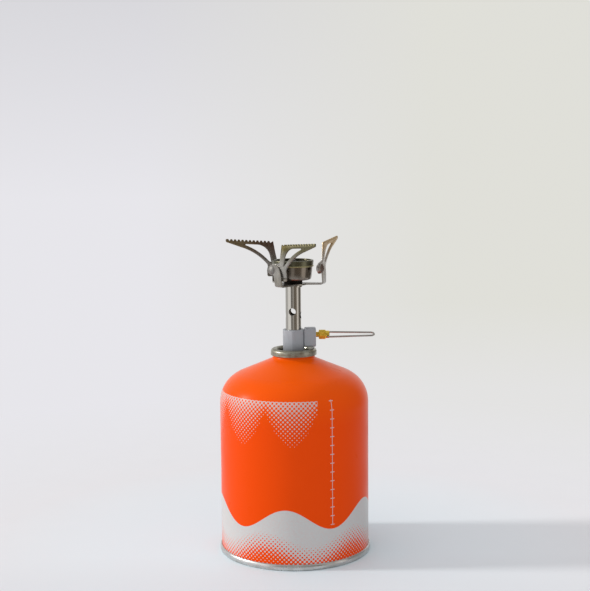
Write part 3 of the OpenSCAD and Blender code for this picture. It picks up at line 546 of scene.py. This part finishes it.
# The dark brown inside the bore is painted shade.
bore_shade_brown = (0.07, 0.06, 0.05, 1)
titanium, shader, place = start_finish("titanium", 1)
polish = grain(titanium, place, 1500, stretch=(1, 1, 0.03), detail=4)
haze = grain(titanium, place, 150, detail=4)
painted_bore_shade = spread(titanium, off_axis(titanium, place), 1, 0, 0.0052, 0.0055)
drawn = mix_colours(titanium, polish, dark_titanium, pale_titanium)
lay_on(titanium, shader, mix_colours(titanium, painted_bore_shade, drawn, bore_shade_brown),
       spread(titanium, haze, 0.09, 0.17))
relief(titanium, shader, polish, 0.000003)
row_height = (tube_high.z - tube_low.z) / tube_rows
outside = [(tube_high.x, tube_low.z + row * row_height) for row in range(tube_rows + 1)]
inside = [(tube_high.x - tube_wall, height) for radius, height in reversed(outside)]
air_tube = turn_on_lathe("air_tube", outside + inside + outside[:1], 96)
for pair in (0, 1):
    bpy.ops.object.select_all(action="DESELECT")
    bpy.ops.mesh.primitive_cylinder_add(vertices=48, radius=air_hole, depth=4 * tube_high.x,
                                        rotation=(math.pi / 2, 0, air_turn + pair * math.pi / 2),
                                        location=(0, 0, air_height - pair * air_step))
    drill = bpy.context.object
    drilling = air_tube.modifiers.new("drilling", "BOOLEAN")
    drilling.operation = "DIFFERENCE"
    drilling.object = drill
    bpy.context.view_layer.objects.active = air_tube
    bpy.ops.object.modifier_apply(modifier="drilling")
    bpy.data.objects.remove(drill)
round_edges(air_tube, 0.0001, sharp=40)
air_tube.data.materials.append(titanium)
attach(air_tube, "stove")
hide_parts("mixing_tube")
dress("tube_collar", titanium)


# Support bracket: stamped from titanium sheet with a hub and three legs, each leg bent up into an upright
# with an ear for the pivot and a stop tab. Tumbled after stamping, and tinted straw in patches by heat.
dark_sheet = (0.27, 0.255, 0.235, 1)
pale_sheet = (0.4, 0.385, 0.36, 1)
straw_sheet = (0.26, 0.22, 0.15, 1)
bracket_sheet, shader, place = start_finish("bracket_sheet", 1)
mill_grain = grain(bracket_sheet, place, 700, stretch=(1, 1, 0.25), detail=5)
warmth = spread(bracket_sheet, grain(bracket_sheet, place, 90), 0, 0.5, 0.4, 0.7)
milled = mix_colours(bracket_sheet, mill_grain, dark_sheet, pale_sheet)
lay_on(bracket_sheet, shader, mix_colours(bracket_sheet, warmth, milled, straw_sheet),
       spread(bracket_sheet, mill_grain, 0.26, 0.44))
relief(bracket_sheet, shader, mill_grain, 0.00001)
leg_bracket = break_edges("support_bracket", "leg_bracket", 0.00016)
leg_bracket.data.materials.append(bracket_sheet)
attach(leg_bracket, "stove")
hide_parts("support_bracket")


# Burner bowl: drawn from stainless sheet with a neck that is pressed onto the tube. Heat has turned it
# dark brown, and near the axis it is painted near black as painted shade, underneath and inside, with the
# port plate and cap in its mouth.
bowl_low, bowl_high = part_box("burner_bowl")
sheet_thick = 0.0006
neck_thick = 0.001
throat = 0.00573
bowl_top = bowl_high.x
bowl_foot = 0.0135
foot_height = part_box("support_bracket")[0].z + 0.0037
dark_burnt = (0.19, 0.165, 0.14, 1)
pale_burnt = (0.28, 0.245, 0.205, 1)
scorch_brown = (0.1, 0.075, 0.055, 1)
shade_black = (0.035, 0.03, 0.027, 1)
burner_metal, shader, place = start_finish("burner_metal", 1)
spin_marks = grain(burner_metal, lathe_place(burner_metal, place), 1800)
scorch = grain(burner_metal, place, 180, stretch=(1, 1, 0.5), detail=5)
burnt = mix_colours(burner_metal, spin_marks, dark_burnt, pale_burnt)
browned = mix_colours(burner_metal, spread(burner_metal, scorch, 0, 0.8, 0.45, 0.7), burnt, scorch_brown)
# Painted shade: near the axis, under and inside the bowl, the metal turns near black.
inner_shade_share = spread(burner_metal, off_axis(burner_metal, place), 1, 0, 0.0118, 0.0131)
spun_gloss = spread(burner_metal, scorch, 0.16, 0.25)
lay_on(burner_metal, shader, mix_colours(burner_metal, inner_shade_share, browned, shade_black),
       reckon(burner_metal, "MULTIPLY_ADD", inner_shade_share, 0.5, spun_gloss))
relief(burner_metal, shader, spin_marks, 0.000006)
drawn_bowl = turn_on_lathe("drawn_bowl", [
    (throat, bowl_low.z),
    (throat + neck_thick, bowl_low.z),
    (throat + neck_thick, foot_height),
    (bowl_foot - 0.0022, foot_height),
    (bowl_foot - 0.0008, foot_height + 0.0005),
    (bowl_foot - 0.0001, foot_height + 0.0018),
    (bowl_top, bowl_high.z),
    (bowl_top - sheet_thick, bowl_high.z),
    (bowl_foot - 0.0007, foot_height + 0.0021),
    (bowl_foot - 0.0014, foot_height + 0.001),
    (bowl_foot - 0.0024, foot_height + sheet_thick),
    (throat, foot_height + sheet_thick),
    (throat, bowl_low.z),
], 96)
round_edges(drawn_bowl, 0.0002, sharp=18)
drawn_bowl.data.materials.append(burner_metal)
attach(drawn_bowl, "stove")
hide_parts("burner_bowl")
for node in ("port_plate", "burner_cap"):
    dress(node, burner_metal)


# Burner band: a stainless ring with a rolled lip, pressed over the mouth of the bowl. Heat has turned it
# olive with smoky patches, and the bead round its lower edge is painted light gold as a painted highlight.
band_low, band_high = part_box("burner_ring")
band_outer = band_high.x
band_inner = bowl_top + 0.00005
lip_inner = band_outer - 0.0018
bead_height = band_low.z + 0.0006
dark_olive = (0.11, 0.108, 0.07, 1)
pale_olive = (0.18, 0.175, 0.115, 1)
smoke_brown = (0.075, 0.065, 0.05, 1)
bead_highlight_gold = (0.36, 0.325, 0.17, 1)
band_metal, shader, place = start_finish("band_metal", 1)
rub_marks = grain(band_metal, lathe_place(band_metal, place), 1800)
soot = grain(band_metal, place, 150, detail=5)
band_up = split_place(band_metal, place)[2]
off_bead = reckon(band_metal, "ABSOLUTE", reckon(band_metal, "SUBTRACT", band_up, bead_height))
# Painted highlight: the bead round the lower edge is coloured light gold.
painted_bead_highlight = spread(band_metal, off_bead, 0.9, 0, 0.0003, 0.0007)
olive = mix_colours(band_metal, rub_marks, dark_olive, pale_olive)
smoked = mix_colours(band_metal, spread(band_metal, soot, 0, 0.7, 0.45, 0.7), olive, smoke_brown)
lay_on(band_metal, shader, mix_colours(band_metal, painted_bead_highlight, smoked, bead_highlight_gold),
       spread(band_metal, soot, 0.24, 0.38))
relief(band_metal, shader, rub_marks, 0.000006)
band_lip = turn_on_lathe("band_lip", [
    (band_inner, band_low.z),
    (band_outer - 0.00035, band_low.z),
    (band_outer - 0.00002, band_low.z + 0.0002),
    (band_outer + 0.00014, bead_height),
    (band_outer - 0.00005, band_low.z + 0.001),
    (band_outer - 0.0003, band_low.z + 0.0012),
    (band_outer - 0.00005, band_high.z - 0.0006),
    (band_outer - 0.00022, band_high.z - 0.0002),
    (band_outer - 0.0006, band_high.z),
    (lip_inner + 0.0002, band_high.z),
    (lip_inner, band_high.z - 0.0003),
    (lip_inner, band_high.z - sheet_thick),
    (band_inner, band_high.z - sheet_thick),
    (band_inner, band_low.z),
], 96)
round_edges(band_lip, 0.0001, sharp=18)
band_lip.data.materials.append(band_metal)
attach(band_lip, "stove")
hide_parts("burner_ring")


# Rivets and washers: domed titanium rivets that hold the arms to the uprights, with a thin washer each,
# and the rivet that holds the burner's cap. The setting tool leaves them dull, and those on the right side
# of the stove are coloured darker brown.
dark_rivet = (0.21, 0.2, 0.185, 1)
pale_rivet = (0.3, 0.29, 0.275, 1)
right_rivet_brown = (0.15, 0.1, 0.08, 1)
rivet_titanium, shader, place = start_finish("rivet_titanium", 1)
set_marks = grain(rivet_titanium, place, 800, detail=4)
right_side_share = spread(rivet_titanium, split_place(rivet_titanium, place)[0], 0, 0.85, 0, 0.012)
set_tone = mix_colours(rivet_titanium, set_marks, dark_rivet, pale_rivet)
lay_on(rivet_titanium, shader, mix_colours(rivet_titanium, right_side_share, set_tone, right_rivet_brown),
       spread(rivet_titanium, set_marks, 0.5, 0.65))
relief(rivet_titanium, shader, set_marks, 0.00001)
for node in ("arm_rivets", "arm_washers", "cap_rivet"):
    dress(node, rivet_titanium)


# Pot arms: three arms stamped from titanium sheet with a toothed bar, a long slot and a heel that rests
# on the stop tab. Use has tinted them by heat: bare low down, straw on the bar, brown at its inner end.
arm_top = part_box("pot_arm_1")[1].z
bare_below = arm_top - 0.0165
tinted_above = arm_top - 0.0055
brown_within = 0.021
straw_beyond = 0.04


def roll(finish, rolling, colour):
    """A colour that the rolling grain of the sheet darkens and lightens."""
    dark = (0.8 * colour[0], 0.8 * colour[1], 0.8 * colour[2], 1)
    light = (1.15 * colour[0], 1.15 * colour[1], 1.15 * colour[2], 1)
    return mix_colours(finish, rolling, dark, light)


def heat_tint(name, bare, straw, brown):
    """Titanium sheet tinted by heat in three tones, from the post to the inner end of the bar."""
    finish, shader, place = start_finish(name, 1)
    rolling = grain(finish, place, 600, stretch=(1, 1, 0.4), detail=5)
    heat_noise = spread(finish, grain(finish, place, 110, detail=4), -0.12, 0.12)
    climb = spread(finish, split_place(finish, place)[2], 0, 1, bare_below, tinted_above)
    near = spread(finish, off_axis(finish, place), 0.95, 0, brown_within, straw_beyond)
    on_bar = mix_colours(finish, reckon(finish, "ADD", near, heat_noise), roll(finish, rolling, straw),
                         roll(finish, rolling, brown))
    toned = mix_colours(finish, reckon(finish, "ADD", climb, heat_noise), roll(finish, rolling, bare),
                        on_bar)
    lay_on(finish, shader, toned, spread(finish, rolling, 0.32, 0.48))
    relief(finish, shader, rolling, 0.00001)
    return finish


arm_tints = (heat_tint("gold_tint", (0.45, 0.425, 0.395), (0.5, 0.35, 0.17), (0.44, 0.3, 0.15)),
             heat_tint("brown_tint", (0.33, 0.32, 0.3), (0.22, 0.165, 0.09), (0.15, 0.095, 0.08)),
             heat_tint("olive_tint", (0.29, 0.28, 0.26), (0.145, 0.132, 0.075), (0.1, 0.08, 0.03)))
for number, tint in enumerate(arm_tints, 1):
    toothed_arm = break_edges(f"pot_arm_{number}", f"toothed_arm_{number}", 0.00018)
    toothed_arm.data.materials.append(tint)
    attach(toothed_arm, f"arm_{number}")
    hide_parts(f"pot_arm_{number}")


# Floor: a plain pale table top that takes the stove's soft shadow. It is a shade cooler round the can,
# against the orange light that the can throws there, and far off it runs out into the pale backdrop.
floor_radius = 0.6
fade_start = 0.26
fade_end = 0.56
sunny_reach = 0.178
backdrop_grey = (0.8, 0.793, 0.83, 1)
sunny_grey = (0.745, 0.742, 0.695, 1)
dark_fleck = (0.755, 0.753, 0.772, 1)
pale_fleck = (0.775, 0.773, 0.792, 1)
cool_white = (0.735, 0.825, 0.87, 1)
front_shadow_grey = (0.67, 0.69, 0.72, 1)
table_top, shader, place = start_finish("table_top", 0)
shader.inputs["Roughness"].default_value = 0.6
shader.inputs["Specular IOR Level"].default_value = 0.1
aside, away = split_place(table_top, place)[:2]
from_can = off_axis(table_top, place)
flecked = mix_colours(table_top, grain(table_top, place, 30), dark_fleck, pale_fleck)
round_foot = spread(table_top, from_can, 1, 0, 0.07, 0.24)
cooled = mix_colours(table_top, round_foot, flecked, cool_white)
# Painted shadow: in front of the can the floor turns a darker grey.
painted_front_shadow = spread(table_top, away, 0.85, 0, -0.16, -0.02)
table_tone = mix_colours(table_top, painted_front_shadow, cooled, front_shadow_grey)
table_top.node_tree.links.new(table_tone, shader.inputs["Base Color"])
sight = table_top.node_tree.nodes.new("ShaderNodeLightPath")
far = spread(table_top, from_can, 0, 1, fade_start, fade_end)
far = reckon(table_top, "MULTIPLY", far, sight.outputs["Is Camera Ray"])
sunny_share = spread(table_top, aside, 0, 0.5, -sunny_reach, sunny_reach)
far_tone = mix_colours(table_top, sunny_share, backdrop_grey, sunny_grey)
glow = table_top.node_tree.nodes.new("ShaderNodeEmission")
table_top.node_tree.links.new(far_tone, glow.inputs["Color"])
fade = table_top.node_tree.nodes.new("ShaderNodeMixShader")
table_top.node_tree.links.new(far, fade.inputs[0])
table_top.node_tree.links.new(shader.outputs[0], fade.inputs[1])
table_top.node_tree.links.new(glow.outputs[0], fade.inputs[2])
surface = table_top.node_tree.nodes["Material Output"].inputs["Surface"]
table_top.node_tree.links.new(fade.outputs[0], surface)
bpy.ops.object.select_all(action="DESELECT")
bpy.ops.mesh.primitive_circle_add(vertices=96, radius=floor_radius, fill_type="NGON")
floor = bpy.context.object
floor.name = "table_top"
floor.data.materials.append(table_top)


# Light: a pale room with its window on the left and the dark of the room behind the camera, as metal
# shows it, and one low soft sun through the window that throws the shadow to the right.
scene = bpy.context.scene
scene.view_settings.view_transform = "Standard"
room = bpy.data.worlds.new("room")
scene.world = room
room.use_nodes = True
nodes = room.node_tree.nodes
links = room.node_tree.links
look = nodes.new("ShaderNodeTexCoord").outputs["Generated"]
to_right, to_back, to_top = split_place(room, look)

ambient = nodes["Background"]
ambient.inputs["Color"].default_value = (0.985, 0.985, 1.0, 1)
window_side = reckon(room, "MULTIPLY_ADD", to_right, -0.2, 0.825)
links.new(reckon(room, "MULTIPLY_ADD", to_back, -0.12, window_side), ambient.inputs["Strength"])

# Round the room, from behind the stove by its left and by the camera: the place, its tone, its warmth.
wall_tones = [(0, 0.85, 0), (0.06, 0.85, 0), (0.15, 0.7, 0), (0.2, 0.6, 0), (0.25, 0.75, 0),
              (0.28, 1.15, 0), (0.38, 1.15, 0), (0.42, 0.25, 0.1), (0.45, 0.18, 0.2), (0.48, 0.5, 0.1),
              (0.51, 0.5, 0.1), (0.535, 0.2, 0.3), (0.63, 0.25, 0.3), (0.66, 0.95, 0.1),
              (0.71, 0.95, 0.1), (0.74, 0.18, 0.2), (0.85, 0.2, 0.2), (0.895, 1, 0), (0.95, 1, 0),
              (1, 0.85, 0)]
ceiling_grey = (0.5, 0.5, 0.5, 1)
walls = nodes.new("ShaderNodeValToRGB")
walls.color_ramp.interpolation = "EASE"
walls.color_ramp.elements.remove(walls.color_ramp.elements[1])
for position, tone, warm in wall_tones:
    stop = walls.color_ramp.elements[0] if position == 0 else walls.color_ramp.elements.new(position)
    stop.color = (tone, tone * (1 - 0.5 * warm), tone * (1 - warm), 1)
round_room = reckon(room, "ARCTAN2", to_right, reckon(room, "MULTIPLY", to_back, -1))
links.new(reckon(room, "MULTIPLY_ADD", round_room, 0.5 / math.pi, 0.5), walls.inputs["Fac"])
overhead = spread(room, to_top, 0, 1, 0.35, 0.75)
mirrored = nodes.new("ShaderNodeBackground")
links.new(mix_colours(room, overhead, walls.outputs["Color"], ceiling_grey), mirrored.inputs["Color"])

high_grey = (0.695, 0.69, 0.72, 1)
high_up = mix_colours(room, spread(room, to_top, 0, 1, -0.03, 0.13), backdrop_grey, high_grey)
sunny_side = spread(room, to_right, 0, 1, -0.12, 0.12)
sunny_side = reckon(room, "MULTIPLY", sunny_side, spread(room, to_top, 0.5, 1, -0.19, -0.12))
seen = nodes.new("ShaderNodeBackground")
links.new(mix_colours(room, sunny_side, high_up, sunny_grey), seen.inputs["Color"])
rays = nodes.new("ShaderNodeLightPath")
glossy = nodes.new("ShaderNodeMixShader")
links.new(rays.outputs["Is Glossy Ray"], glossy.inputs[0])
links.new(ambient.outputs[0], glossy.inputs[1])
links.new(mirrored.outputs[0], glossy.inputs[2])
direct = reckon(room, "MAXIMUM", rays.outputs["Is Camera Ray"], rays.outputs["Is Transmission Ray"])
shown = nodes.new("ShaderNodeMixShader")
links.new(direct, shown.inputs[0])
links.new(glossy.outputs[0], shown.inputs[1])
links.new(seen.outputs[0], shown.inputs[2])
links.new(shown.outputs[0], nodes["World Output"].inputs["Surface"])

sun_way = Vector((1, 0, -0.44))
sunlight = bpy.data.lights.new("window_sun", "SUN")
sunlight.energy = 1.8
sunlight.color = (1, 0.985, 0.96)
sunlight.angle = math.radians(7)
window_sun = bpy.data.objects.new("window_sun", sunlight)
scene.collection.objects.link(window_sun)
window_sun.rotation_euler = sun_way.to_track_quat("-Z", "Y").to_euler()


# Camera: a little above the burner and looking slightly down, at the photograph's distance, with a lens
# that gives the photograph's scale.
image_height = 591
focal_pixels = 1183
sensor_size = 36
camera_place = (-0.0008, -0.85, 0.2837)
look_right = 0.14
look_down = 6.509
lean_right = 0.492
lens = bpy.data.cameras.new("camera")
lens.sensor_width = sensor_size
lens.lens = focal_pixels * sensor_size / image_height
viewer = bpy.data.objects.new("camera", lens)
scene.collection.objects.link(viewer)
viewer.matrix_world = (
    Matrix.Translation(camera_place)
    @ Matrix.Rotation(math.radians(-look_right), 4, "Z")
    @ Matrix.Rotation(math.radians(90 - look_down), 4, "X")
    @ Matrix.Rotation(math.radians(-lean_right), 4, "Z")
)
scene.camera = viewer
